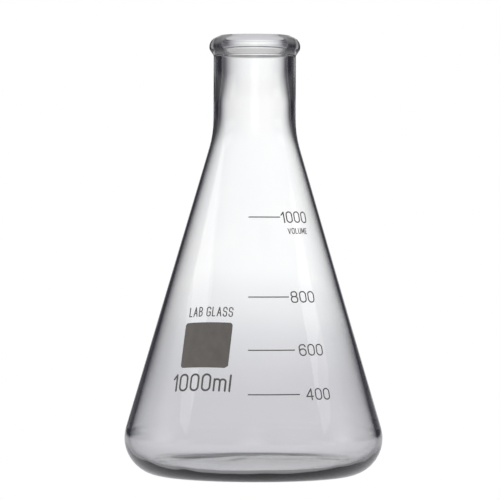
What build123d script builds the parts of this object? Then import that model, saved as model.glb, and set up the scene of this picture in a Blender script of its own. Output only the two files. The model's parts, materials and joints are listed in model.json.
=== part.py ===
"""One litre conical (Erlenmeyer) flask: a blown glass body with fired enamel marks on its cone.

Millimetres, +Z up. The origin is on the axis, in the plane that the foot stands on.
The front, which carries the marks, faces -Y. Azimuths are degrees round the axis from
the front, growing towards +X.
"""
from build123d import *
from math import asin, atan2, cos, degrees, hypot, radians, sin, tan
import os

os.makedirs("parts", exist_ok=True)

# Glass body, outside
overall_height = 223.0
base_diameter = 131.0        # across the heel, where the body is widest
neck_length = 50.0           # from the rim to where the slope of the cone meets the neck
shoulder_radius = 52.0
heel_radius = 19.0
foot_width = 4.5             # flat ring that touches the table
punt_rise = 2.4              # how far the underside is pushed up in the middle

# Glass body, wall
mouth_diameter = 34.0        # straight, tooled bore that takes the stopper
mouth_wall = 3.9             # from that bore to the outside of the neck
mouth_depth = 19.0           # from the top of the rim to the end of that bore
mouth_taper = 14.0           # height over which the bore widens to the wall of the neck
mouth_taper_radius = 40.0    # rounding at both ends of that taper
neck_wall = 2.4
cone_wall_top = 1.1
cone_wall_middle = 1.6
cone_wall_low = 3.2
wall_middle_height = 75.0    # below this level the wall thickens faster
wall_middle_radius = 3000.0
base_wall = 5.0
inner_heel_radius = 14.0

# Rolled bead round the rim
bead_overhang = 2.2          # how far the bead stands out from the neck
bead_slope_height = 2.6      # top of the bead, which slopes down from the crest
bead_side = 4.5
bead_under_height = 3.2
bead_top_radius = 5.0
bead_under_radius = 2.8
bead_root_radius = 2.0
crest_width = 0.8            # from the bore to where the slope starts
crest_radius = 0.9
lip_radius = 0.4             # inside edge of the rim, fire polished

# Enamel, fired onto the outside of the cone
enamel_thickness = 0.12
enamel_reach = 5.0           # depth to which a flat outline is carried to meet the cone

# Graduation. The top line stands this far below the end of the cone, and each line at the
# level where the flask holds its share of what it holds up to the top line. A printed scale
# like this one is only a guide, a tenth out at its low end, so the shares aren't even.
top_line_drop = 42.0
graduations = {"400": 0.438, "600": 0.636, "800": 0.82, "1000": 1.0}
line_width = 0.55
line_lead = 2.9              # how far each line starts to the left of the front
line_end_azimuth = 22.6
numeral_height = 6.0
numeral_stroke = 0.62
numeral_width = 14.0         # numeral of three figures
numeral_azimuth = 32.6       # and its middle
long_numeral_width = 15.7    # numeral of four figures
long_numeral_azimuth = 37.0
scale_caption_text = "VOLUME"
scale_caption_width = 12.1
scale_caption_height = 3.1
scale_caption_stroke = 0.38
scale_caption_azimuth = 38.1
scale_caption_drop = 6.9     # middle of the caption below the top line

# Marking block with its two captions, one above the other on one generator of the cone
group_azimuth = -27.5
group_tilt = 1.5             # the stencil sits a little askew
block_width = 26.3
block_length = 23.0
block_corner = 1.6
block_height = 67.8
glass_caption_text = "LAB GLASS"
glass_caption_width = 24.3
glass_caption_height = 5.0
glass_caption_stroke = 0.54
glass_caption_level = 84.1
capacity_text = "1000ml"
capacity_width = 32.2
capacity_height = 9.0
capacity_stroke = 0.95
capacity_level = 49.5
letter_gap = 0.14            # clear space between letters, in cap heights


# ---------------------------------------------------------------- geometry of the cone

base_radius = base_diameter / 2
mouth_radius = mouth_diameter / 2
neck_radius = mouth_radius + mouth_wall
shoulder_height = overall_height - neck_length
heel_centre = base_radius - heel_radius

# The cone runs from the line of the neck to touch the rounding of the heel.
cone_run = heel_centre - neck_radius
cone_rise = shoulder_height - heel_radius
cone_angle = atan2(cone_run, cone_rise) + asin(heel_radius / hypot(cone_run, cone_rise))


def cone_radius(height):
    """Outside radius of the cone at a height above the table."""
    return neck_radius + (shoulder_height - height) * tan(cone_angle)


def wall_across(thickness):
    """Horizontal width of a cone wall of this thickness."""
    return thickness / cos(cone_angle)


def cone_plane(azimuth, height):
    """Plane that touches the cone at a point, with its Y axis up the generator."""
    turn = radians(azimuth)
    radius = cone_radius(height)
    return Plane(
        origin=(radius * sin(turn), -radius * cos(turn), height),
        x_dir=(cos(turn), sin(turn), 0),
        z_dir=(cos(cone_angle) * sin(turn), -cos(cone_angle) * cos(turn), sin(cone_angle)),
    )


def radial_plane(azimuth):
    """Upright plane through the axis, X outwards at the azimuth and Y up."""
    turn = radians(azimuth)
    return Plane(
        origin=(0, 0, 0),
        x_dir=(sin(turn), -cos(turn), 0),
        z_dir=(-cos(turn), -sin(turn), 0),
    )


# ---------------------------------------------------------------- glass body

foot_radius = heel_centre
foot_inner_radius = foot_radius - foot_width
neck_inner_radius = neck_radius - neck_wall
bead_radius = neck_radius + bead_overhang
crest_outer_radius = mouth_radius + crest_width
bead_shoulder = overall_height - bead_slope_height
bead_waist = bead_shoulder - bead_side
bead_bottom = bead_waist - bead_under_height
mouth_bottom = overall_height - mouth_depth

# The rounding of the bead's top takes no more of the side than the one below leaves it.
bead_top_turn = atan2(bead_radius - crest_outer_radius, bead_slope_height)
bead_under_turn = atan2(bead_overhang, bead_under_height)
bead_side_left = bead_side - bead_under_radius * tan(bead_under_turn / 2)
bead_top_rounding = min(bead_top_radius, 0.95 * bead_side_left / tan(bead_top_turn / 2))

inner_shoulder_height = shoulder_height + (
    neck_wall - wall_across(cone_wall_top)
) / tan(cone_angle)
inner_middle_radius = cone_radius(wall_middle_height) - wall_across(cone_wall_middle)
inner_corner_radius = cone_radius(base_wall) - wall_across(cone_wall_low)
inner_shoulder_radius = shoulder_radius + neck_wall

# Inside the rounding of the heel the floor is level for as far as the foot below it.
inner_slope = atan2(inner_corner_radius - inner_middle_radius, wall_middle_height - base_wall)
inner_heel_reach = inner_heel_radius / tan((radians(90) - inner_slope) / 2)
floor_radius = inner_corner_radius - inner_heel_reach - foot_width


with BuildPart() as cavity:
    with BuildSketch(Plane.XZ):
        with BuildLine():
            inside = FilletPolyline(
                (floor_radius, base_wall),
                (inner_corner_radius, base_wall),
                (inner_middle_radius, wall_middle_height),
                (neck_inner_radius, inner_shoulder_height),
                (neck_inner_radius, mouth_bottom - mouth_taper),
                (mouth_radius, mouth_bottom),
                (mouth_radius, overall_height),
                radius=[
                    inner_heel_radius,
                    wall_middle_radius,
                    inner_shoulder_radius,
                    mouth_taper_radius,
                    mouth_taper_radius,
                ],
            )
            TangentArc((0, base_wall + punt_rise), (floor_radius, base_wall), tangent=(1, 0))
            Polyline((0, base_wall + punt_rise), (0, overall_height), inside @ 1)
        make_face()
    revolve(axis=Axis.Z)

with BuildPart() as flask_body:
    with BuildSketch(Plane.XZ):
        with BuildLine():
            outside = FilletPolyline(
                (foot_inner_radius, 0),
                (cone_radius(0), 0),
                (neck_radius, shoulder_height),
                (neck_radius, bead_bottom),
                (bead_radius, bead_waist),
                (bead_radius, bead_shoulder),
                (crest_outer_radius, overall_height),
                (0, overall_height),
                radius=[
                    heel_radius,
                    shoulder_radius,
                    bead_root_radius,
                    bead_under_radius,
                    bead_top_rounding,
                    crest_radius,
                ],
            )
            TangentArc((0, punt_rise), (foot_inner_radius, 0), tangent=(1, 0))
            Line((0, punt_rise), outside @ 1)
        make_face()
    revolve(axis=Axis.Z)
    add(cavity.part, mode=Mode.SUBTRACT)
    rim_edges = flask_body.edges().group_by(Axis.Z)[-1].sort_by(SortBy.LENGTH)
    fillet(rim_edges[0], radius=lip_radius)
flask_body.part.label = "flask_body"
export_step(flask_body.part, "parts/flask_body.step")


# ---------------------------------------------------------------- enamel marks

# The layer that the marks are cut from lies on the cone between its two roundings.
layer_bottom = heel_radius * (1 + sin(cone_angle))
layer_top = shoulder_height - shoulder_radius * tan(cone_angle / 2) * cos(cone_angle)

with BuildPart() as enamel_layer:
    with BuildSketch(Plane.XZ):
        with BuildLine():
            Polyline(
                (cone_radius(layer_bottom), layer_bottom),
                (cone_radius(layer_top), layer_top),
                (cone_radius(layer_top) + wall_across(enamel_thickness), layer_top),
                (cone_radius(layer_bottom) + wall_across(enamel_thickness), layer_bottom),
                close=True,
            )
        make_face()
    revolve(axis=Axis.Z)

# Letters as pen strokes in a box one unit wide and one high. A glyph is its natural width in
# cap heights, its round strokes and its straight ones; a round stroke that ends where it
# starts is a loop.
glyphs = {
    "0": (0.6, [[(0, 0), (1, 0), (1, 1), (0, 1), (0, 0)]], []),
    "1": (0.25, [], [[(0, 0.74), (1, 1), (1, 0)]]),
    "4": (0.66, [], [[(0.76, 0), (0.76, 1), (0, 0.3), (1, 0.3)]]),
    "6": (
        0.6,
        [[(0.96, 0.8), (0.96, 1), (0, 1), (0, 0.3)], [(0, 0), (1, 0), (1, 0.6), (0, 0.6), (0, 0)]],
        [],
    ),
    "8": (
        0.6,
        [
            [(0, 0), (1, 0), (1, 0.54), (0, 0.54), (0, 0)],
            [(0.06, 0.54), (0.94, 0.54), (0.94, 1), (0.06, 1), (0.06, 0.54)],
        ],
        [],
    ),
    "A": (0.72, [], [[(0, 0), (0.5, 1), (1, 0)], [(0.18, 0.34), (0.82, 0.34)]]),
    "B": (
        0.62,
        [[(0, 0), (1, 0), (1, 0.54), (0, 0.54)], [(0, 0.54), (0.92, 0.54), (0.92, 1), (0, 1)]],
        [[(0, 0), (0, 1)]],
    ),
    "E": (0.52, [], [[(1, 0), (0, 0), (0, 1), (1, 1)], [(0, 0.52), (0.9, 0.52)]]),
    "G": (0.7, [[(1, 0.78), (1, 1), (0, 1), (0, 0), (1, 0), (1, 0.4)]], [[(1, 0.45), (0.55, 0.45)]]),
    "L": (0.5, [], [[(0, 1), (0, 0), (1, 0)]]),
    "M": (0.78, [], [[(0, 0), (0, 1), (0.5, 0.2), (1, 1), (1, 0)]]),
    "O": (0.7, [[(0, 0), (1, 0), (1, 1), (0, 1), (0, 0)]], []),
    "S": (0.62, [[(1, 0.76), (1, 1), (0, 1), (0, 0.52), (1, 0.52), (1, 0), (0, 0), (0, 0.24)]], []),
    "U": (0.66, [[(0, 1), (0, 0), (1, 0), (1, 1)]], []),
    "V": (0.7, [], [[(0, 1), (0.5, 0), (1, 1)]]),
    "l": (0, [], [[(0, 0), (0, 1)]]),
    "m": (
        0.82,
        [[(0, 0.5), (0, 0.72), (0.5, 0.72), (0.5, 0)], [(0.5, 0.5), (0.5, 0.72), (1, 0.72), (1, 0)]],
        [[(0, 0), (0, 0.72)]],
    ),
    " ": (0.1, [], []),
}
roundness = 0.94             # of the largest corner radius that a round stroke has room for


def place_points(points, left, width, height, stroke):
    """Points of a stroke carried from the unit box to their place in the line of text."""
    return [(left + x * width, (y - 0.5) * (height - stroke)) for x, y in points]


def corner_radii(path):
    """Radius for each corner of a round stroke, from the two sides that meet there."""
    sides = [hypot(b[0] - a[0], b[1] - a[1]) for a, b in zip(path, path[1:])]
    if path[0] == path[-1]:
        room = [side / 2 for side in sides]
        return [roundness * min(room[i - 1], room[i]) for i in range(len(room))]
    room = [sides[0]] + [side / 2 for side in sides[1:-1]] + [sides[-1]]
    return [roundness * min(before, after) for before, after in zip(room, room[1:])]


def lettering(text, text_width, height, stroke):
    """Outlines of a line of text of this width and height, centred on the origin."""
    step = stroke + letter_gap * height
    natural_width = height * sum(glyphs[letter][0] for letter in text)
    spread = (text_width - len(text) * step + letter_gap * height) / natural_width
    with BuildSketch() as letters:
        left = (stroke - text_width) / 2
        for letter in text:
            share, round_strokes, straight_strokes = glyphs[letter]
            width = share * height * spread
            for points in round_strokes:
                path = place_points(points, left, width, height, stroke)
                with BuildLine():
                    FilletPolyline(path, radius=corner_radii(path))
                trace(line_width=stroke)
                if path[0] != path[-1]:
                    with Locations(path[0], path[-1]):
                        Circle(stroke / 2)
            for points in straight_strokes:
                path = place_points(points, left, width, height, stroke)
                for start, end in zip(path, path[1:]):
                    with BuildLine():
                        Line(start, end)
                    trace(line_width=stroke)
                with Locations(*path):
                    Circle(stroke / 2)
            left += width + step
    return letters.sketch


def fire_mark(name, outline, azimuth, height, tilt=0):
    """Enamel mark of this flat outline, wrapped on the cone and written under its name."""
    with BuildPart() as mark:
        with BuildSketch(cone_plane(azimuth, height)):
            add(outline, rotation=tilt)
        extrude(amount=enamel_reach, both=True)
        add(enamel_layer.part, mode=Mode.INTERSECT)
    mark.part.label = name
    export_step(mark.part, f"parts/{name}.step")


def fire_line(name, height, start_azimuth, end_azimuth):
    """Level line of enamel round part of the cone, written under its name."""
    low = height - line_width / 2 * cos(cone_angle)
    high = height + line_width / 2 * cos(cone_angle)
    with BuildPart() as line:
        with BuildSketch(radial_plane(start_azimuth)):
            with BuildLine():
                Polyline(
                    (cone_radius(low), low),
                    (cone_radius(high), high),
                    (cone_radius(high) + wall_across(enamel_thickness), high),
                    (cone_radius(low) + wall_across(enamel_thickness), low),
                    close=True,
                )
            make_face()
        revolve(axis=Axis.Z, revolution_arc=end_azimuth - start_azimuth)
    line.part.label = name
    export_step(line.part, f"parts/{name}.step")


def volume_below(level):
    """Volume that the flask holds up to a level, in cubic millimetres."""
    filled = split(
        cavity.part, bisect_by=Plane.XY.offset(level), keep=Keep.BOTTOM, mode=Mode.PRIVATE
    )
    return filled.volume


def fill_level(volume):
    """Level that a volume reaches, to a hundredth of a millimetre."""
    low = base_wall
    high = shoulder_height
    while high - low > 0.01:
        middle = (low + high) / 2
        if volume_below(middle) < volume:
            low = middle
        else:
            high = middle
    return (low + high) / 2


top_line_height = shoulder_height - top_line_drop
full_volume = volume_below(top_line_height)
print(f"cone angle {degrees(cone_angle):.2f} degrees, holds {full_volume / 1000:.0f} ml to the top line")

for numeral, share in graduations.items():
    level = fill_level(share * full_volume)
    lead_azimuth = -degrees(line_lead / cone_radius(level))
    fire_line(f"graduation_line_{numeral}", level, lead_azimuth, line_end_azimuth)
    is_long = len(numeral) > 3
    width = long_numeral_width if is_long else numeral_width
    azimuth = long_numeral_azimuth if is_long else numeral_azimuth
    outline = lettering(numeral, width, numeral_height, numeral_stroke)
    fire_mark(f"numeral_{numeral}", outline, azimuth, level)
    print(f"line {numeral} at {level:.1f}")

fire_mark(
    "scale_caption",
    lettering(
        scale_caption_text, scale_caption_width, scale_caption_height, scale_caption_stroke
    ),
    scale_caption_azimuth,
    top_line_height - scale_caption_drop,
)
fire_mark(
    "glass_caption",
    lettering(
        glass_caption_text, glass_caption_width, glass_caption_height, glass_caption_stroke
    ),
    group_azimuth,
    glass_caption_level,
    group_tilt,
)
fire_mark(
    "capacity_caption",
    lettering(capacity_text, capacity_width, capacity_height, capacity_stroke),
    group_azimuth,
    capacity_level,
    group_tilt,
)

with BuildSketch() as block_outline:
    RectangleRounded(block_width, block_length, block_corner)
fire_mark("marking_block", block_outline.sketch, group_azimuth, block_height, group_tilt)
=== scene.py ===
"""Looks of a one litre conical flask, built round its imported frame: clear glass, fired enamel
marks and a pale studio. Laid out as an add-on and run as a script. Lengths are in metres."""
import json
import math

import bpy
from bpy.props import FloatProperty, FloatVectorProperty, IntProperty, PointerProperty
from mathutils import Matrix, Vector


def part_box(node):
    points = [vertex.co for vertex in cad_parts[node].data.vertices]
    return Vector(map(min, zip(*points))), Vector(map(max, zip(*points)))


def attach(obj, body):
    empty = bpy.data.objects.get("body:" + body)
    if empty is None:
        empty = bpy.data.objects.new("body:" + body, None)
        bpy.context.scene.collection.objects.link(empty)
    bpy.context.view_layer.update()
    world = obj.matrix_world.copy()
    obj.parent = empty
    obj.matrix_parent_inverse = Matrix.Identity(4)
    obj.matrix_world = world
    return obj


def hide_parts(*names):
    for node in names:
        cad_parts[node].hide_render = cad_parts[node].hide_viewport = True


bl_info = {
    "name": "Conical Flask",
    "version": (1, 0, 0),
    "blender": (4, 5, 0),
    "location": "3D View > Sidebar > Flask",
    "description": "Builds the glass, the enamel marks and the studio of a conical flask",
    "category": "Object",
}

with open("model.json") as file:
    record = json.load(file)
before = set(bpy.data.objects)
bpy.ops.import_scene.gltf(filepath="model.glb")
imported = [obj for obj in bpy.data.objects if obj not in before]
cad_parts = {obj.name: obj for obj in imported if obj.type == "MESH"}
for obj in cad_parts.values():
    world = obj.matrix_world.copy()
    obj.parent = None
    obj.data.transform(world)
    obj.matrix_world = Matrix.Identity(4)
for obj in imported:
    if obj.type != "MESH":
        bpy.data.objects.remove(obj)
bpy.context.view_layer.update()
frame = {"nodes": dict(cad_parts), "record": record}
glass_low, glass_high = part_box("flask_body")
BODY = "root"
MM = 0.001
WHITE = (1.0, 1.0, 1.0, 1.0)

# Points closer than these are one: where the turned glass closes, and at the corners of a mark.
SEAM_GAP = 0.001 * MM
CORNER_GAP = 0.0005 * MM

# Depths of a ray are whole numbers. These lie between never and once, and between once and twice.
NEVER_OR_ONCE = 0.5
ONCE_OR_TWICE = 1.5


# ---------------------------------------------------------------- sizes and colours

def length(name, description, default):
    """Property for a length in metres."""
    return FloatProperty(name=name, description=description, default=default, min=0,
                         precision=5, unit="LENGTH")


def angle(name, description, default):
    """Property for an angle, given here in degrees."""
    return FloatProperty(name=name, description=description, default=math.radians(default),
                         unit="ROTATION")


def number(name, description, default):
    """Property for a plain number."""
    return FloatProperty(name=name, description=description, default=default, precision=4)


def colour(name, description, default):
    """Property for a linear colour."""
    return FloatVectorProperty(name=name, description=description, default=default, size=3,
                               min=0, max=1, subtype="COLOR")


def span(name, description, default):
    """Property for two plain numbers, where something starts and where it ends."""
    return FloatVectorProperty(name=name, description=description, default=default, size=2,
                               precision=4)


def count(name, description, default, least=1):
    """Property for a whole number."""
    return IntProperty(name=name, description=description, default=default, min=least)


def spot(name, description, default):
    """Property for a place in metres."""
    return FloatVectorProperty(name=name, description=description, default=default, size=3,
                               subtype="TRANSLATION")


class FlaskGlassSettings(bpy.types.PropertyGroup):
    """Outline and finish of the blown glass."""
    height: length("Height", "From the foot to the rim", glass_high.z)
    base_radius: length("Base radius", "From the axis to the heel, where it is widest", glass_high.x)
    neck_length: length("Neck length", "From the rim to where the cone's slope meets the neck", 50 * MM)
    shoulder_radius: length("Shoulder radius", "Rounding between cone and neck", 52 * MM)
    heel_radius: length("Heel radius", "Outside rounding between cone and foot", 19 * MM)
    foot_width: length("Foot width", "Level ring that stands on the table", 4.5 * MM)
    punt_rise: length("Punt rise", "How far the underside is pushed up", 2.4 * MM)
    mouth_radius: length("Mouth radius", "Straight bore for the stopper", 17 * MM)
    mouth_wall: length("Mouth wall", "From the bore to the outside of the neck", 3.9 * MM)
    mouth_depth: length("Mouth depth", "From the rim to the end of the bore", 19 * MM)
    mouth_taper: length("Mouth taper", "Height over which the bore widens to the neck", 14 * MM)
    mouth_taper_radius: length("Taper radius", "Rounding at both ends of that taper", 40 * MM)
    neck_wall: length("Neck wall", "Thickness of the neck below the taper", 2.4 * MM)
    cone_wall_top: length("Cone wall, top", "Thickness of the cone at the neck", 1.1 * MM)
    cone_wall_middle: length("Cone wall, middle", "Thickness where it starts to grow", 1.6 * MM)
    cone_wall_low: length("Cone wall, low", "Thickness of the cone at the heel", 3.2 * MM)
    wall_middle_height: length("Middle height", "Below this the wall thickens faster", 75 * MM)
    wall_middle_radius: length("Middle radius", "Rounding of the inner wall there", 3)
    base_wall: length("Base wall", "Thickness of the base at the foot", 5 * MM)
    inner_heel_radius: length("Inner heel radius", "Inside rounding above the foot", 14 * MM)
    bead_overhang: length("Bead overhang", "How far the bead stands out", 2.2 * MM)
    bead_slope_height: length("Bead top", "Height of the slope down from the crest", 2.6 * MM)
    bead_side: length("Bead side", "Between the slopes above and below", 4.5 * MM)
    bead_under_height: length("Bead underside", "Height of the slope to the neck", 3.2 * MM)
    bead_top_radius: length("Bead top radius", "Rounding from the top to the side", 5 * MM)
    bead_under_radius: length("Bead under radius", "Rounding from the side to the underside", 2.8 * MM)
    bead_root_radius: length("Bead root radius", "Rounding between bead and neck", 2 * MM)
    crest_width: length("Crest width", "From the bore to where the top slopes", 0.8 * MM)
    crest_radius: length("Crest radius", "Rounding of the crest", 0.9 * MM)
    lip_radius: length("Lip radius", "Fire polished inside edge of the rim", 0.4 * MM)
    segments: count("Segments", "Faces round the axis", 384, least=24)
    arc_step: angle("Arc step", "Turn of the outline between two points of a rounding", 5)
    run_step: length("Run step", "Distance between two points of a straight run", 6 * MM)
    ripple: length("Ripple", "Unevenness of the inner wall", 0.09 * MM)
    ripple_scale: number("Ripple scale", "Waves of the inner wall for each metre", 34)
    pooling: length("Pooling", "Unevenness of the floor, where the glass pooled", 0.35 * MM)
    pooling_scale: number("Pooling scale", "Waves of the floor for each metre", 40)
    tint: colour("Tint", "Colour of the glass, once through a wall", (0.975, 0.984, 0.988))
    cloud_scale: number("Cloud scale", "Patches of the tint for each metre", 18)
    cloud_span: span("Cloud span", "Noise from which the tint fades, and where it is gone", (0.35, 0.7))
    smear_scale: number("Smear scale", "Wiping marks for each metre", 55)
    smear_span: span("Smear span", "Noise from which a mark shows, and where it is full", (0.62, 0.8))
    smear_haze: number("Smear haze", "Roughness of a wiping mark", 0.018)
    skin_scale: number("Skin scale", "Waves of the surface for each metre", 42)
    skin_depth: length("Skin depth", "Height of the waves of the surface", 0.4 * MM)
    skin_strength: number("Skin strength", "Share of those waves that shows", 0.06)
    refraction: number("Refraction", "Refractive index of borosilicate glass", 1.473)


class FlaskEnamelSettings(bpy.types.PropertyGroup):
    """Thickness and finish of the fired marks."""
    thickness: length("Thickness", "How far the enamel stands out from the glass", 0.1 * MM)
    seat: length("Seat", "How deep the enamel is fused into the glass", 0.015 * MM)
    block_dark: colour("Block, dark", "Darker patches of the marking block", (0.135, 0.122, 0.114))
    block_light: colour("Block, light", "Lighter patches of the marking block", (0.165, 0.15, 0.141))
    print_dark: colour("Print, dark", "Darker patches of the print", (0.095, 0.088, 0.086))
    print_light: colour("Print, light", "Lighter patches of the print", (0.14, 0.13, 0.127))
    patch_scale: number("Patch scale", "Patches of the enamel for each metre", 210)
    patch_share: number("Patch share", "Part that the patches have in its cover", 0.6)
    cover_span: span("Cover span", "Cover of the darkest and of the lightest patches", (0.3, 0.7))
    grain_scale: number("Grain scale", "Grains of the enamel for each metre", 2600)
    grain_span: span("Grain span", "Noise of the smoothest and of the roughest spots", (0.3, 0.7))
    grain_depth: length("Grain depth", "Height of a grain", 0.03 * MM)
    grain_strength: number("Grain strength", "Share of the grains' height that shows", 0.35)
    roughness: span("Roughness", "Roughness of the smoothest and of the roughest spots", (0.5, 0.68))
    facing: number("Facing", "How squarely a face looks outwards if it is outer skin", 0.8)
    halvings: count("Halvings", "Times that each edge of a mark is halved for the wrap", 2)


class FlaskStageSettings(bpy.types.PropertyGroup):
    """Camera, floor and light."""
    camera_distance: length("Camera distance", "From the axis of the flask", 1.7)
    camera_height: length("Camera height", "Above the table", 0.134)
    target_height: length("Target height", "Where the camera looks on the axis", 0.1142)
    side_step: length("Side step", "How far left of the axis the camera stands", 0.0021)
    lean: angle("Lean", "How far the camera is rolled", 0.2)
    view_width: length("View width", "Width of the view at the axis", 0.2538)
    floor_radius: length("Floor radius", "Radius of the pale table top", 80)
    floor_corners: count("Floor corners", "Corners round the table top", 96, least=3)
    floor_drop: length("Floor drop", "How far the table top lies below the foot", 0.05 * MM)
    # The table top glows with painted light for the glass: painted shade near the flask and between four
    # brighter painted aisles, and bright cards against a dim room far off.
    near_painted_shade: colour("Near tone", "Table near the flask, as the glass sees it", (0.675, 0.666, 0.7))
    far_tone: number("Far tone", "Brightness of the four cards", 1.13)
    near_reach: length("Near reach", "Where the near tone ends", 0.45)
    far_reach: length("Far reach", "Where the tones of the room have taken over", 6)
    side_painted_shade: number("Side tone", "Share of the near tone away from the four aisles", 0.65)
    aisle_half_width: length("Aisle half width", "Half width of each bright aisle on the table", 0.05)
    aisle_edge: length("Aisle edge", "How far from its middle an aisle has faded out", 0.5)
    dark_tone: colour("Dark tone", "The dim room between the cards", (0.063, 0.06, 0.078))
    top_tone: number("Top tone", "Brightness overhead", 0.35)
    top_start: number("Top start", "Sine of the angle above level where that tone starts", 0.08)
    top_full: number("Top full", "Sine of the angle above level where it has taken over", 0.5)
    matt_tone: number("Matt tone", "Even light on matt surfaces", 0.8)
    # Painted shade: mirror images inside the flask are given a darker colour.
    mirror_shade_share: number("Mirror share", "Brightness left in mirror images inside the flask", 0.4)
    card_reach: angle("Card reach", "Angle from its middle at which a card has faded out", 20.5)
    card_turn: angle("Card turn", "How far the cards are turned to the right", 1.5)
    strip_width: length("Strip width", "Width of each strip light", 0.16)
    strip_glow: number("Strip glow", "Brightness of each strip light", 1)
    strip_target: length("Strip target", "Height above the table that the strip lights point at", 0.1)
    left_place: spot("Left place", "Middle of the left strip light", (-1, -0.2, 0.53))
    left_reach: length("Left length", "Length of the left strip light", 0.65)
    right_place: spot("Right place", "Middle of the right strip light", (1, -0.25, 0.51))
    right_reach: length("Right length", "Length of the right strip light", 0.4)


# ---------------------------------------------------------------- nodes from Python expressions

class Wire:
    """An output socket; arithmetic on it adds Math nodes to its tree."""

    def __init__(self, graph, socket):
        self.graph = graph
        self.socket = socket

    def maths(self, operation, *others):
        """This value, with any others after it, through one Math node."""
        return self.graph.maths(operation, self, *others)

    def __add__(self, other):
        return self.maths("ADD", other)

    def __radd__(self, other):
        return self.graph.maths("ADD", other, self)

    def __sub__(self, other):
        return self.maths("SUBTRACT", other)

    def __rsub__(self, other):
        return self.graph.maths("SUBTRACT", other, self)

    def __mul__(self, other):
        return self.maths("MULTIPLY", other)

    def __rmul__(self, other):
        return self.graph.maths("MULTIPLY", other, self)

    def __truediv__(self, other):
        return self.maths("DIVIDE", other)

    def __rtruediv__(self, other):
        return self.graph.maths("DIVIDE", other, self)

    def __mod__(self, other):
        return self.maths("FLOORED_MODULO", other)

    def __floordiv__(self, other):
        return (self / other).maths("FLOOR")

    def __abs__(self):
        return self.maths("ABSOLUTE")


class Graph:
    """Adds nodes to a node tree."""

    def __init__(self, tree):
        self.tree = tree

    def add(self, kind, settings=None, values=None, output=0):
        """A node of a kind, its settings first, then values or wires for its sockets."""
        node = self.tree.nodes.new(kind)
        for name, value in (settings or {}).items():
            setattr(node, name, value)
        for key, value in (values or {}).items():
            self.feed(self.find(node.inputs, key), value)
        return Wire(self, self.find(node.outputs, output))

    def find(self, sockets, key):
        """Socket by its name, or by its place among those in use."""
        live = [socket for socket in sockets if socket.enabled]
        return live[key] if isinstance(key, int) else next(s for s in live if s.name == key)

    def feed(self, socket, value):
        """Links a wire to a socket, or sets a plain value on it."""
        if isinstance(value, Wire):
            self.tree.links.new(value.socket, socket)
        else:
            socket.default_value = value

    def maths(self, operation, *operands):
        """One Math node."""
        return self.add("ShaderNodeMath", {"operation": operation}, dict(enumerate(operands)))

    def split(self, vector):
        """The three parts of a vector."""
        node = self.tree.nodes.new("ShaderNodeSeparateXYZ")
        self.feed(node.inputs[0], vector)
        return [Wire(self, socket) for socket in node.outputs]

    def join(self, x, y, z):
        """A vector from its three parts."""
        return self.add("ShaderNodeCombineXYZ", values={0: x, 1: y, 2: z})

    def grey(self, value):
        """A colour with three equal parts."""
        return self.join(value, value, value)

    def ramp(self, value, start, end, low=0.0, high=1.0):
        """Smooth rise from low to high while the value goes from start to end."""
        settings = {"interpolation_type": "SMOOTHSTEP"}
        names = ("Value", "From Min", "From Max", "To Min", "To Max")
        return self.add("ShaderNodeMapRange", settings, dict(zip(names, (value, start, end, low, high))))

    def blend(self, share, first, second, mode="MIX"):
        """Mix of two colours."""
        settings = {"data_type": "RGBA", "blend_type": mode}
        return self.add("ShaderNodeMix", settings, {"Factor": share, "A": first, "B": second}, "Result")

    def noise(self, vector, scale, detail, roughness=0.5):
        """Fractal noise between 0 and 1."""
        values = {"Vector": vector, "Scale": scale, "Detail": detail, "Roughness": roughness}
        return self.add("ShaderNodeTexNoise", values=values)

    def bump(self, height, strength, distance):
        """Direction of a surface that a height makes uneven."""
        values = {"Strength": strength, "Distance": distance, "Height": height}
        return self.add("ShaderNodeBump", values=values)


def new_material(name):
    """An empty material, its graph, and the wire of its object coordinates."""
    material = bpy.data.materials.new(name)
    material.use_nodes = True
    material.node_tree.nodes.clear()
    graph = Graph(material.node_tree)
    place = graph.add("ShaderNodeTexCoord", output="Object")
    return material, graph, place


def finish_material(graph, shader):
    """Sends a shader to the material's output."""
    graph.feed(graph.tree.nodes.new("ShaderNodeOutputMaterial").inputs["Surface"], shader)


def rgba(tone):
    """Linear colour with full cover."""
    return (*tone, 1.0)


# ---------------------------------------------------------------- materials

def glass_material(settings):
    """Clear borosilicate: a faint cool tint, wiping marks and a skin that isn't quite even."""
    material, graph, place = new_material("clear_glass")
    cloud = graph.noise(place, settings.cloud_scale, detail=3.0)
    smear = graph.noise(place, settings.smear_scale, detail=4.0, roughness=0.6)
    skin = graph.noise(place, settings.skin_scale, detail=1.0)
    shader = graph.add("ShaderNodeBsdfPrincipled", values={
        "Base Color": graph.blend(graph.ramp(cloud, *settings.cloud_span), rgba(settings.tint), WHITE),
        "Roughness": graph.ramp(smear, *settings.smear_span, 0.0, settings.smear_haze),
        "IOR": settings.refraction,
        "Transmission Weight": 1.0,
        "Normal": graph.bump(skin, settings.skin_strength, settings.skin_depth),
    })
    finish_material(graph, shader)
    return material


def enamel_material(name, dark, light, settings):
    """Fired enamel: matt, finely grained, a little uneven in cover."""
    material, graph, place = new_material(name)
    patch = graph.noise(place, settings.patch_scale, detail=3.0, roughness=0.6)
    speck = graph.noise(place, settings.grain_scale, detail=2.0, roughness=0.7)
    mixed = patch * settings.patch_share + speck * (1 - settings.patch_share)
    cover = graph.ramp(mixed, *settings.cover_span)
    shader = graph.add("ShaderNodeBsdfPrincipled", values={
        "Base Color": graph.blend(cover, rgba(dark), rgba(light)),
        "Roughness": graph.ramp(speck, *settings.grain_span, *settings.roughness),
        "Normal": graph.bump(speck, settings.grain_strength, settings.grain_depth),
    })
    finish_material(graph, shader)
    return material


# ---------------------------------------------------------------- geometry helpers

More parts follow.
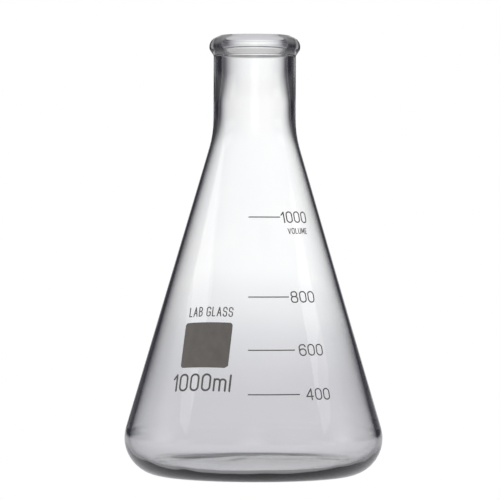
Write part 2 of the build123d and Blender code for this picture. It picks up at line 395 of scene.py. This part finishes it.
def rounded_path(corners, arc_step, run_step):
    """Points of a path through corners (r, z, radius), with each corner turned on its radius."""
    points = [Vector(corners[0][:2])]
    for before, corner, after in zip(corners, corners[1:], corners[2:]):
        apex = Vector(corner[:2])
        way_in = (apex - Vector(before[:2])).normalized()
        way_out = (Vector(after[:2]) - apex).normalized()
        turn = way_in.angle_signed(way_out)
        reach = corner[2] * math.tan(abs(turn) / 2)
        side = Vector((way_in.y, -way_in.x)) * math.copysign(1, turn)
        centre = apex - way_in * reach + side * corner[2]
        steps = max(2, math.ceil(abs(turn) / arc_step))
        for step in range(steps + 1):
            spoke = Matrix.Rotation(-turn * step / steps, 2) @ (-side * corner[2])
            points.append(centre + spoke)
    points.append(Vector(corners[-1][:2]))
    return split_runs(points, run_step)


def split_runs(points, run_step):
    """The same path with its long straight runs cut into steps."""
    path = [points[0]]
    for start, end in zip(points, points[1:]):
        steps = max(1, round((end - start).length / run_step))
        path += [start.lerp(end, step / steps) for step in range(1, steps + 1)]
    return path


def dome(edge_radius, height, rise, steps):
    """Points of a shallow dome from its top, on the axis, out to its edge."""
    return [
        Vector((edge_radius * step / steps, height + rise * (1 - (step / steps) ** 2)))
        for step in range(steps)
    ]


def cone_slope(settings):
    """Angle of the cone: it runs from the line of the neck to touch the rounding of the heel."""
    neck_radius = settings.mouth_radius + settings.mouth_wall
    run = settings.base_radius - settings.heel_radius - neck_radius
    rise = settings.height - settings.neck_length - settings.heel_radius
    return math.atan2(run, rise) + math.asin(settings.heel_radius / math.hypot(run, rise))


def wall_outline(settings):
    """Outline of the wall from under the base, up the outside, over the rim and down the inside.
    Each point comes with its share of the ripple in the inner wall, and of that in the floor."""
    s = settings
    slope = cone_slope(s)
    shoulder = s.height - s.neck_length
    neck = s.mouth_radius + s.mouth_wall
    bead = neck + s.bead_overhang
    bead_shoulder = s.height - s.bead_slope_height
    bead_waist = bead_shoulder - s.bead_side
    heel_centre = s.base_radius - s.heel_radius
    foot_inner = heel_centre - s.foot_width
    outside = [
        (foot_inner, 0),
        (neck + shoulder * math.tan(slope), 0, s.heel_radius),
        (neck, shoulder, s.shoulder_radius),
        (neck, bead_waist - s.bead_under_height, s.bead_root_radius),
        (bead, bead_waist, s.bead_under_radius),
        (bead, bead_shoulder, s.bead_top_radius),
        (s.mouth_radius + s.crest_width, s.height, s.crest_radius),
        (s.mouth_radius, s.height, s.lip_radius),
    ]
    neck_inner = neck - s.neck_wall
    inner_shoulder = shoulder + (s.neck_wall - s.cone_wall_top / math.cos(slope)) / math.tan(slope)
    middle = neck + (shoulder - s.wall_middle_height) * math.tan(slope)
    middle -= s.cone_wall_middle / math.cos(slope)
    corner = neck + (shoulder - s.base_wall) * math.tan(slope) - s.cone_wall_low / math.cos(slope)
    inner_slope = math.atan2(corner - middle, s.wall_middle_height - s.base_wall)
    reach = s.inner_heel_radius / math.tan((math.pi / 2 - inner_slope) / 2)
    floor_edge = corner - reach - s.foot_width
    mouth_bottom = s.height - s.mouth_depth
    inside = [
        (s.mouth_radius, mouth_bottom, s.mouth_taper_radius),
        (neck_inner, mouth_bottom - s.mouth_taper, s.mouth_taper_radius),
        (neck_inner, inner_shoulder, s.shoulder_radius + s.neck_wall),
        (middle, s.wall_middle_height, s.wall_middle_radius),
        (corner, s.base_wall, s.inner_heel_radius),
        (floor_edge, s.base_wall),
    ]
    steps = math.ceil(foot_inner / s.run_step)
    under = dome(foot_inner, 0, s.punt_rise, steps)
    floor = dome(floor_edge, s.base_wall, s.punt_rise, steps)[::-1]
    points = under + rounded_path(outside + inside, s.arc_step, s.run_step) + floor
    rim = max(range(len(points)), key=lambda place: points[place].y)
    # The outside has no share in either.
    wall_shares = [0.0] * rim
    floor_shares = [0.0] * rim
    for point in points[rim:]:
        below_mouth = (mouth_bottom - point.y) / s.mouth_taper
        above_floor = (point.y - s.base_wall - s.punt_rise) / s.inner_heel_radius
        wall_shares.append(min(1.0, max(0.0, below_mouth)))
        floor_shares.append(min(1.0, max(0.0, 1 - above_floor)))
    return points, wall_shares, floor_shares


def new_tree(name, inputs, output):
    """An empty geometry node tree with named inputs and one output: its graph and input wires."""
    tree = bpy.data.node_groups.new(name, "GeometryNodeTree")
    for label, kind in inputs.items():
        tree.interface.new_socket(label, in_out="INPUT", socket_type=f"NodeSocket{kind}")
    tree.interface.new_socket(output, in_out="OUTPUT", socket_type="NodeSocketGeometry")
    graph = Graph(tree)
    sockets = tree.nodes.new("NodeGroupInput").outputs[:len(inputs)]
    return graph, [Wire(graph, socket) for socket in sockets]


def finish_tree(graph, mesh, material):
    """Sends a mesh out of a tree, smooth, real and with its material."""
    soft = graph.add("GeometryNodeSetShadeSmooth", values={"Geometry": mesh, "Shade Smooth": True})
    real = graph.add("GeometryNodeRealizeInstances", values={"Geometry": soft})
    dressed = graph.add("GeometryNodeSetMaterial", values={"Geometry": real, "Material": material})
    graph.feed(graph.tree.nodes.new("NodeGroupOutput").inputs[0], dressed)
    return graph.tree


def lathe_tree(material):
    """Geometry nodes that turn an outline about the axis and ripple its inner wall."""
    inputs = {"Outline": "Geometry", "Segments": "Int", "Ripple": "Float", "Ripple Scale": "Float",
              "Pooling": "Float", "Pooling Scale": "Float"}
    graph, wires = new_tree("turned_glass", inputs, "Glass")
    outline, segments, ripple, ripple_scale, pooling, pooling_scale = wires

    rings = graph.add("GeometryNodeAttributeDomainSize", values={"Geometry": outline},
                      output="Point Count")
    grid = graph.add("GeometryNodeMeshGrid",
                     values={"Vertices X": segments + 1, "Vertices Y": rings}, output="Mesh")
    index = graph.add("GeometryNodeInputIndex")
    row = index % rings
    turn = (index // rings) / segments * math.tau

    def sample(kind, value):
        """What the outline holds at this row."""
        values = {"Geometry": outline, "Value": value, "Index": row}
        return graph.add("GeometryNodeSampleIndex", {"data_type": kind}, values)

    def stored(name):
        """A number stored on the points of the outline."""
        return graph.add("GeometryNodeInputNamedAttribute", {"data_type": "FLOAT"}, {"Name": name},
                         "Attribute")

    place = sample("FLOAT_VECTOR", graph.add("GeometryNodeInputPosition"))
    wall_share = sample("FLOAT", stored("wall_share"))
    floor_share = sample("FLOAT", stored("floor_share"))
    radius, _, height = graph.split(place)
    sine = turn.maths("SINE")
    cosine = turn.maths("COSINE")
    even = graph.join(radius * sine, 0 - radius * cosine, height)
    wave = graph.noise(even, ripple_scale, detail=1.0) - 0.5
    pool = graph.noise(even, pooling_scale, detail=1.0) - 0.5
    rippled = radius + wave * 2 * ripple * wall_share
    raised = height + pool * 2 * pooling * floor_share
    turned = graph.join(rippled * sine, 0 - rippled * cosine, raised)
    shaped = graph.add("GeometryNodeSetPosition", values={"Geometry": grid, "Position": turned})
    closed = graph.add("GeometryNodeMergeByDistance",
                       values={"Geometry": shaped, "Distance": SEAM_GAP})
    return finish_tree(graph, closed, material)


def wrap_tree(material):
    """Geometry nodes that keep the outer skin of a mark and lay it evenly on the cone."""
    inputs = {"Mark": "Geometry", "Slope": "Float", "Neck Radius": "Float",
              "Shoulder Height": "Float", "Facing": "Float", "Halvings": "Int"}
    graph, wires = new_tree("wrapped_enamel", inputs, "Enamel")
    mark, slope, neck, shoulder, facing, halvings = wires

    whole = graph.add("GeometryNodeMergeByDistance", values={"Geometry": mark, "Distance": CORNER_GAP})
    x, y, z = graph.split(graph.add("GeometryNodeInputPosition"))
    across = (x * x + y * y).maths("SQRT")
    normal_x, normal_y, normal_z = graph.split(graph.add("GeometryNodeInputNormal"))
    outward = (normal_x * x + normal_y * y) / across
    squareness = outward * slope.maths("COSINE") + normal_z * slope.maths("SINE")
    skin = graph.add("GeometryNodeDeleteGeometry", {"domain": "FACE"},
                     {"Geometry": whole, "Selection": squareness.maths("LESS_THAN", facing)})
    fine = graph.add("GeometryNodeSubdivideMesh", values={"Mesh": skin, "Level": halvings})
    surface = neck + (shoulder - z) * slope.maths("TANGENT")
    stretch = surface / across
    laid = graph.add("GeometryNodeSetPosition", values={
        "Geometry": fine, "Position": graph.join(x * stretch, y * stretch, z)})
    return finish_tree(graph, laid, material)


def grow(name, source, tree, values):
    """Object whose mesh is what a node tree makes of a source mesh."""
    seed = bpy.data.objects.new(name, source)
    bpy.context.scene.collection.objects.link(seed)
    modifier = seed.modifiers.new(name, "NODES")
    modifier.node_group = tree
    for item in tree.interface.items_tree:
        if item.in_out == "INPUT" and item.name in values:
            modifier[item.identifier] = values[item.name]
    bpy.context.view_layer.update()
    evaluated = seed.evaluated_get(bpy.context.evaluated_depsgraph_get())
    mesh = bpy.data.meshes.new_from_object(evaluated)
    mesh.name = name
    seed.modifiers.remove(modifier)
    seed.data = mesh
    return seed


# ---------------------------------------------------------------- operators

class FLASK_OT_glass(bpy.types.Operator):
    """Turn the blown glass body in place of its plain solid"""
    bl_idname = "flask.glass"
    bl_label = "Glass body"

    def execute(self, context):
        settings = context.scene.flask_glass
        points, wall_shares, floor_shares = wall_outline(settings)
        outline = bpy.data.meshes.new("glass_outline")
        edges = [(place, place + 1) for place in range(len(points) - 1)]
        outline.from_pydata([(point.x, 0, point.y) for point in points], edges, [])
        for name, shares in (("wall_share", wall_shares), ("floor_share", floor_shares)):
            outline.attributes.new(name, "FLOAT", "POINT").data.foreach_set("value", shares)
        tree = lathe_tree(glass_material(settings))
        glass = grow("glass_body", outline, tree, {
            "Segments": settings.segments,
            "Ripple": settings.ripple,
            "Ripple Scale": settings.ripple_scale,
            "Pooling": settings.pooling,
            "Pooling Scale": settings.pooling_scale,
        })
        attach(glass, BODY)
        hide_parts("flask_body")
        return {"FINISHED"}


def lay_marks(context, nodes, material):
    """Lays each named mark on the cone, with the thickness of fired enamel."""
    glass = context.scene.flask_glass
    enamel = context.scene.flask_enamel
    tree = wrap_tree(material)
    for node in nodes:
        mark = grow(f"{node}_enamel", frame["nodes"][node].data.copy(), tree, {
            "Slope": cone_slope(glass),
            "Neck Radius": glass.mouth_radius + glass.mouth_wall,
            "Shoulder Height": glass.height - glass.neck_length,
            "Facing": enamel.facing,
            "Halvings": enamel.halvings,
        })
        if not mark.data.polygons:
            raise RuntimeError(f"{node} has no outer skin")
        wall = mark.modifiers.new("thickness", "SOLIDIFY")
        wall.thickness = enamel.thickness + enamel.seat
        wall.offset = (enamel.thickness - enamel.seat) / wall.thickness
        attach(mark, BODY)
        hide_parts(node)


class FLASK_OT_marking_block(bpy.types.Operator):
    """Lay the marking block on the cone"""
    bl_idname = "flask.marking_block"
    bl_label = "Marking block"

    def execute(self, context):
        enamel = context.scene.flask_enamel
        material = enamel_material("block_enamel", enamel.block_dark, enamel.block_light, enamel)
        lay_marks(context, ["marking_block"], material)
        return {"FINISHED"}


class FLASK_OT_print(bpy.types.Operator):
    """Lay the graduation lines, the numerals and the captions on the cone"""
    bl_idname = "flask.print"
    bl_label = "Lines, numerals and captions"

    def execute(self, context):
        enamel = context.scene.flask_enamel
        material = enamel_material("print_enamel", enamel.print_dark, enamel.print_light, enamel)
        marks = [part["node"] for part in frame["record"]["subparts"]
                 if part["material_slot"] == "enamel" and part["node"] != "marking_block"]
        lay_marks(context, marks, material)
        return {"FINISHED"}


def room_tone(graph, settings, x, y):
    """Colour of the dim room in the direction (x, y), with one bright card on each of four sides."""
    quarter = math.pi / 2
    bearing = x.maths("ARCTAN2", y) - settings.card_turn
    off_centre = abs((bearing + quarter / 2) % quarter - quarter / 2)
    share = graph.ramp(off_centre, settings.card_reach, 0.0)
    return graph.blend(share, rgba(settings.dark_tone), graph.grey(settings.far_tone))


def shown(graph, settings, tone):
    """Plain white for the camera itself and an even light for matt surfaces. The glass sees the
    given tone, with painted shade where it comes by way of a mirror image inside the flask."""
    outputs = graph.tree.nodes.new("ShaderNodeLightPath").outputs
    path = {socket.name: Wire(graph, socket) for socket in outputs}
    # Painted shade: a ray that was mirrored at least once and went through glass at least twice gets a
    # darker colour.
    mirrored = path["Glossy Depth"].maths("GREATER_THAN", NEVER_OR_ONCE)
    inside = path["Transmission Depth"].maths("GREATER_THAN", ONCE_OR_TWICE)
    dim = 1 - mirrored * inside * (1 - settings.mirror_shade_share)
    dimmed = graph.blend(1.0, tone, graph.grey(dim), "MULTIPLY")
    lit = graph.blend(path["Is Diffuse Ray"], dimmed, graph.grey(settings.matt_tone))
    return graph.blend(path["Is Camera Ray"], lit, WHITE)


def build_floor(settings):
    """Pale table top, so wide that its edge is lost in the distance. It glows: plain white to the
    camera, and to the glass painted light, with painted shade near the flask and bright cards far off.
    """
    mesh = bpy.data.meshes.new("table_top")
    turns = [math.tau * step / settings.floor_corners for step in range(settings.floor_corners)]
    ring = [
        (settings.floor_radius * math.cos(turn), settings.floor_radius * math.sin(turn),
         -settings.floor_drop)
        for turn in turns
    ]
    mesh.from_pydata(ring, [], [range(len(ring))])
    floor = bpy.data.objects.new("table_top", mesh)
    bpy.context.scene.collection.objects.link(floor)
    material, graph, place = new_material("pale_table_painted_light")
    x, y, _ = graph.split(place)
    # Painted light seen by the glass: painted shade near the flask, fading out to the painted cards and
    # dim room far away, and brighter painted aisles along the axes with painted shade between them.
    octave = (x * x + y * y).maths("SQRT").maths("LOGARITHM", math.e)
    far = graph.ramp(octave, math.log(settings.near_reach), math.log(settings.far_reach))
    off_axis = abs(x).maths("MINIMUM", abs(y))
    aisle = graph.ramp(off_axis, settings.aisle_edge, settings.aisle_half_width,
                       settings.side_painted_shade, 1.0)
    near = graph.blend(1.0, rgba(settings.near_painted_shade), graph.grey(aisle), "MULTIPLY")
    tone = graph.blend(far, near, room_tone(graph, settings, x, y))
    light = graph.add("ShaderNodeEmission", values={"Color": shown(graph, settings, tone)})
    finish_material(graph, light)
    mesh.materials.append(material)


def build_world(settings):
    """Dim room with its four bright cards; plain white to the camera itself."""
    world = bpy.data.worlds.new("studio")
    world.use_nodes = True
    world.node_tree.nodes.clear()
    graph = Graph(world.node_tree)
    x, y, z = graph.split(graph.add("ShaderNodeTexCoord", output="Generated"))
    high = graph.ramp(z, settings.top_start, settings.top_full)
    tone = graph.blend(high, room_tone(graph, settings, x, y), graph.grey(settings.top_tone))
    light = graph.add("ShaderNodeBackground", values={"Color": shown(graph, settings, tone)})
    graph.feed(world.node_tree.nodes.new("ShaderNodeOutputWorld").inputs["Surface"], light)
    bpy.context.scene.world = world


def build_strip_lights(settings):
    """Two strip lights above the table, one each side, that lie along the line of sight."""
    for name, place, reach in (("strip_left", settings.left_place, settings.left_reach),
                               ("strip_right", settings.right_place, settings.right_reach)):
        lamp = bpy.data.lights.new(name, "AREA")
        lamp.shape = "RECTANGLE"
        lamp.size = reach
        lamp.size_y = settings.strip_width
        lamp.energy = settings.strip_glow * math.pi * lamp.size * lamp.size_y
        holder = bpy.data.objects.new(name, lamp)
        aim = Vector((0, place[1], settings.strip_target)) - Vector(place)
        turn = aim.to_track_quat("-Z", "Y").to_matrix().to_4x4()
        holder.matrix_world = Matrix.Translation(place) @ turn
        holder.visible_camera = False
        bpy.context.scene.collection.objects.link(holder)


def build_camera(settings):
    """Long lens, a little above the middle of the flask and tilted down to it."""
    data = bpy.data.cameras.new("camera")
    camera = bpy.data.objects.new("camera", data)
    bpy.context.scene.collection.objects.link(camera)
    camera.location = (-settings.side_step, -settings.camera_distance, settings.camera_height)
    target = Vector((-settings.side_step, 0, settings.target_height))
    aim = target - camera.location
    look = aim.to_track_quat("-Z", "Y").to_matrix()
    camera.rotation_euler = (look @ Matrix.Rotation(settings.lean, 3, "Z")).to_euler()
    data.lens = data.sensor_width * aim.length / settings.view_width
    data.clip_end = 4 * settings.floor_radius
    bpy.context.scene.camera = camera


class FLASK_OT_stage(bpy.types.Operator):
    """Set up the table, the light and the camera"""
    bl_idname = "flask.stage"
    bl_label = "Table, light and camera"

    def execute(self, context):
        settings = context.scene.flask_stage
        context.scene.view_settings.view_transform = "Standard"
        build_floor(settings)
        build_world(settings)
        build_strip_lights(settings)
        build_camera(settings)
        return {"FINISHED"}


class FLASK_PT_panel(bpy.types.Panel):
    """Sizes, colours and build steps of the flask"""
    bl_idname = "FLASK_PT_panel"
    bl_label = "Conical Flask"
    bl_space_type = "VIEW_3D"
    bl_region_type = "UI"
    bl_category = "Flask"

    def draw(self, context):
        scene = context.scene
        for settings in (scene.flask_glass, scene.flask_enamel, scene.flask_stage):
            box = self.layout.box()
            for name in settings.__annotations__:
                box.prop(settings, name)
        for operator in OPERATORS:
            self.layout.operator(operator.bl_idname)


SETTINGS = {
    "flask_glass": FlaskGlassSettings,
    "flask_enamel": FlaskEnamelSettings,
    "flask_stage": FlaskStageSettings,
}
OPERATORS = (FLASK_OT_glass, FLASK_OT_marking_block, FLASK_OT_print, FLASK_OT_stage)


def register():
    """Adds the settings to the scene and the operators and the panel to Blender."""
    for name, group in SETTINGS.items():
        bpy.utils.register_class(group)
        setattr(bpy.types.Scene, name, PointerProperty(type=group))
    for cls in (*OPERATORS, FLASK_PT_panel):
        bpy.utils.register_class(cls)


def unregister():
    """Takes out what register added."""
    for cls in (FLASK_PT_panel, *reversed(OPERATORS)):
        bpy.utils.unregister_class(cls)
    for name, group in SETTINGS.items():
        delattr(bpy.types.Scene, name)
        bpy.utils.unregister_class(group)


def main():
    """Registers the classes and builds the flask and its stage."""
    register()
    bpy.ops.flask.glass()
    bpy.ops.flask.marking_block()
    bpy.ops.flask.print()
    bpy.ops.flask.stage()


if __name__ == "__main__":
    main()
